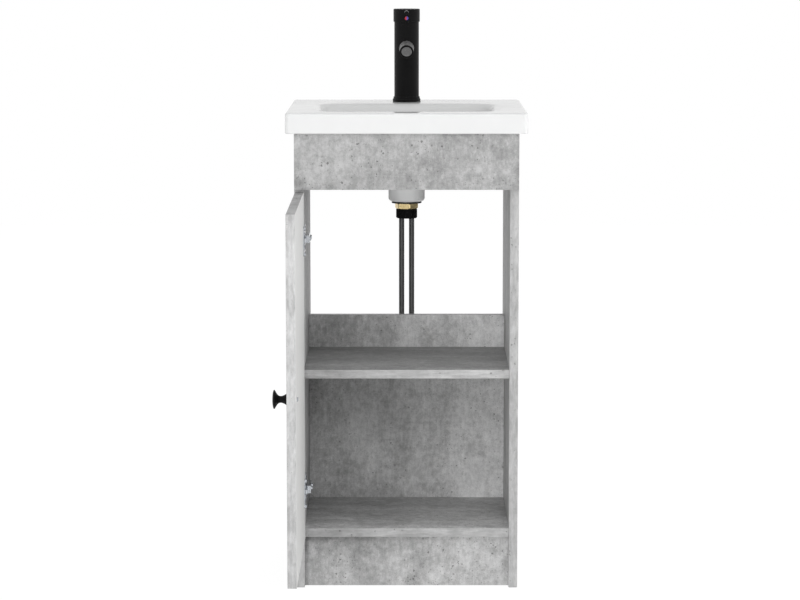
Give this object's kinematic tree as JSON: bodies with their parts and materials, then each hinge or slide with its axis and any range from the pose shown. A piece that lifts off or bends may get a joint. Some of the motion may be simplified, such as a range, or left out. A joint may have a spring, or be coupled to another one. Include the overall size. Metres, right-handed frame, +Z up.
{
  "type": "vanity unit",
  "caption": "Narrow floor-standing vanity cabinet with one hinged door, two shelves, a ceramic basin with a push plug, and a single-lever tap with flexible hoses.",
  "frame": {"origin": "on the floor, on the centre line, at the front face of the plinth board", "axes": "+Z up, +Y towards the wall (the front faces -Y), +X to the right seen from the front; the door rests open at a right angle"},
  "size_m": [0.4185, 0.7422, 0.9877],
  "materials": {
    "laminate": "grey stone-look laminate on chipboard, satin",
    "ceramic": "white glaze, glossy",
    "black_metal": "matte black coat",
    "nickel": "nickel plated",
    "chrome": "polished",
    "brass": "machined",
    "rubber": "matte",
    "hose": "rubber lined hose under a braid",
    "black_plastic": "matte",
    "white_plastic": "satin",
    "red_plastic": "gloss",
    "blue_plastic": "gloss"
  },
  "bodies": {
    "cabinet": {"left_side_panel": "laminate", "right_side_panel": "laminate", "fascia_panel": "laminate", "front_top_rail": "laminate", "rear_top_rail": "laminate", "middle_shelf": "laminate", "bottom_shelf": "laminate", "plinth_board": "laminate", "back_panel": "laminate", "upper_hinge_arm": "nickel", "lower_hinge_arm": "nickel", "upper_mounting_plate": "nickel", "lower_mounting_plate": "nickel", "ceramic_basin": "ceramic", "overflow_ring": "chrome", "waste_body": "brass", "waste_seal": "rubber", "waste_washer": "rubber", "waste_backnut": "brass", "waste_collar": "black_plastic", "tap_body": "black_metal", "tap_base_ring": "black_metal", "tap_gasket": "rubber", "aerator": "black_plastic", "cartridge_housing": "white_plastic", "cartridge_nut": "brass", "fixing_stud": "nickel", "rubber_horseshoe": "rubber", "steel_horseshoe": "nickel", "fixing_nut": "brass", "hot_hose": "hose", "cold_hose": "hose", "hose_shanks": "nickel", "hose_tails": "nickel", "hose_nuts": "nickel", "hose_ferrules": "nickel"},
    "door": {"door_panel": "laminate", "door_knob": "black_metal", "knob_screw": "nickel", "upper_hinge_cup": "nickel", "lower_hinge_cup": "nickel", "hinge_pins": "nickel"},
    "mixer_carrier": {"cartridge_carrier": "white_plastic"},
    "mixer_handle": {"cross_pin": "nickel", "handle_stem": "brass", "tap_cap": "black_metal", "lever_rod": "black_metal", "hot_mark": "red_plastic", "cold_mark": "blue_plastic", "grub_screw": "nickel"},
    "waste_plug": {"plug_cap": "black_metal", "plug_spindle": "brass"}
  },
  "joints": [
    {"name": "door_swing", "type": "hinge", "parent": "cabinet", "child": "door", "pos_m": [-0.1835, -0.0282, 0.1705], "axis": [0, 0, 1], "range_deg": [-5, 90]},
    {"name": "handle_turn", "type": "hinge", "parent": "cabinet", "child": "mixer_carrier", "pos_m": [0, 0.281, 0.9497], "axis": [0, 0, 1], "range_deg": [-45, 45]},
    {"name": "handle_lift", "type": "hinge", "parent": "mixer_carrier", "child": "mixer_handle", "pos_m": [0, 0.281, 0.9497], "axis": [-1, 0, 0], "range_deg": [0, 20]},
    {"name": "plug_rise", "type": "slide", "parent": "cabinet", "child": "waste_plug", "axis": [0, 0, 1], "range_m": [0, 0.007]}
  ]
}
